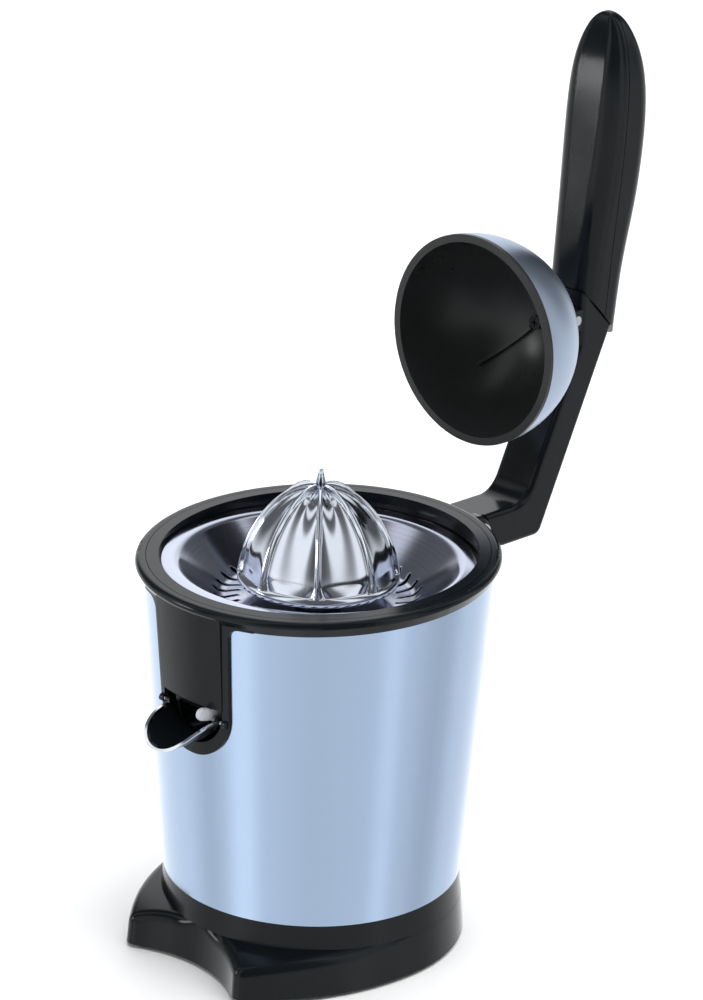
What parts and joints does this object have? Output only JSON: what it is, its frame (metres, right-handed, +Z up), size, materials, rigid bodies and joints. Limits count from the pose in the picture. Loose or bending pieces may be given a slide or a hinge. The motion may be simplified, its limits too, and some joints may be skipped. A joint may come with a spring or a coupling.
{
  "type": "electric citrus juicer",
  "caption": "Electric citrus juicer: steel body on a black base, strainer bowl with a ribbed cone, tipping spout, and a hinged lever with a press cup.",
  "frame": {"origin": "on the body's axis, at the plane of the feet's undersides", "axes": "+Z up the body's axis, -Y toward the spout, +Y toward the lever's hinge, +X to the right seen from the spout's side"},
  "size_m": [0.1732, 0.3075, 0.4276],
  "materials": {
    "black_gloss": "glossy moulded plastic",
    "black_satin": "satin moulded plastic",
    "inner_plastic": "plain moulded plastic",
    "gear_plastic": "plain acetal",
    "grey_plastic": "light grey moulded plastic",
    "switch_red": "plain moulded plastic",
    "sleeve_steel": "polished sheet with soft reflections",
    "bowl_steel": "turned, satin",
    "cone_steel": "mirror polished",
    "cup_steel": "polished",
    "lip_bright": "bright trim",
    "shaft_steel": "ground",
    "screw_steel": "zinc plated",
    "can_steel": "drawn sheet",
    "core_iron": "laminated",
    "magnet": "sintered",
    "bush_brass": "sintered bronze",
    "rubber": "plain"
  },
  "bodies": {
    "body": {"base_shell": "black_gloss", "bottom_plate": "black_satin", "foot_ring": "rubber", "toe_pads": "rubber", "cord_gland": "rubber", "steel_sleeve": "sleeve_steel", "top_collar": "black_gloss", "spout_pegs": "grey_plastic", "juice_tray": "black_gloss", "upper_bush": "bush_brass", "spindle_seal": "rubber", "return_spring": "shaft_steel", "microswitch": "black_satin", "idler_pin": "shaft_steel", "gearbox_base": "inner_plastic", "gearbox_cover": "inner_plastic", "motor_can": "can_steel", "motor_end_cap": "inner_plastic", "motor_bearings": "bush_brass", "motor_magnets": "magnet", "plate_screws": "screw_steel", "leg_screws": "screw_steel", "gearbox_screws": "screw_steel", "hinge_pin": "shaft_steel"},
    "rotor": {"rotor_core": "core_iron", "motor_shaft": "shaft_steel", "motor_fan": "gear_plastic", "motor_pinion": "bush_brass"},
    "idler": {"idler_gear": "gear_plastic"},
    "output": {"output_gear": "gear_plastic"},
    "spindle": {"drive_spindle": "shaft_steel", "thrust_plate": "shaft_steel"},
    "plunger": {"switch_plunger": "switch_red"},
    "cone": {"reamer_cone": "cone_steel", "cone_core": "inner_plastic"},
    "strainer": {"strainer_bowl": "bowl_steel"},
    "spout": {"spout_trough": "black_gloss", "spout_lip": "lip_bright"},
    "arm": {"lever_arm": "black_gloss", "handle_front": "black_gloss", "handle_back": "black_gloss", "hinge_bushes": "bush_brass", "cup_pin": "shaft_steel"},
    "cup": {"cup_dome": "cup_steel", "cup_liner": "black_satin", "cup_knuckle": "cup_steel", "cup_screw": "screw_steel"}
  },
  "joints": [
    {"name": "arm_hinge", "type": "hinge", "parent": "body", "child": "arm", "pos_m": [0, 0.093, 0.1849], "axis": [-1, 0, 0], "range_deg": [-90, 0]},
    {"name": "cup_tilt", "type": "hinge", "parent": "arm", "child": "cup", "pos_m": [0, 0.1627, 0.2779], "axis": [1, 0, 0], "range_deg": [-8, 0]},
    {"name": "spout_tilt", "type": "hinge", "parent": "body", "child": "spout", "pos_m": [0, -0.07842, 0.1345], "axis": [-1, 0, 0], "range_deg": [0, 35]},
    {"name": "gear_spin", "type": "hinge", "parent": "body", "child": "output", "pos_m": [0, 0, 0.1089], "axis": [0, 0, 1], "continuous": true},
    {"name": "idler_spin", "type": "hinge", "parent": "body", "child": "idler", "pos_m": [0, 0.03, 0.1007], "axis": [0, 0, 1], "continuous": true},
    {"name": "rotor_spin", "type": "hinge", "parent": "body", "child": "rotor", "pos_m": [0, 0, 0.1007], "axis": [0, 0, 1], "continuous": true},
    {"name": "spindle_press", "type": "slide", "parent": "output", "child": "spindle", "axis": [0, 0, 1], "range_m": [-0.0025, 0], "stiffness_N_per_m": 2500, "springref_m": 0.006, "deforming": ["return_spring"]},
    {"name": "plunger_press", "type": "slide", "parent": "body", "child": "plunger", "axis": [0, 0, 1], "range_m": [-0.0025, 0]},
    {"name": "strainer_lift", "type": "slide", "parent": "body", "child": "strainer", "axis": [0, 0, 1], "range_m": [0, 0.06]},
    {"name": "cone_lift", "type": "slide", "parent": "spindle", "child": "cone", "axis": [0, 0, 1], "range_m": [0, 0.06]}
  ],
  "couplings": [
    {"joint": "idler_spin", "follows": "gear_spin", "ratio": -3},
    {"joint": "rotor_spin", "follows": "gear_spin", "ratio": 12},
    {"joint": "plunger_press", "follows": "spindle_press", "ratio": 1},
    {"joint": "cone_lift", "follows": "strainer_lift", "ratio": 1}
  ]
}
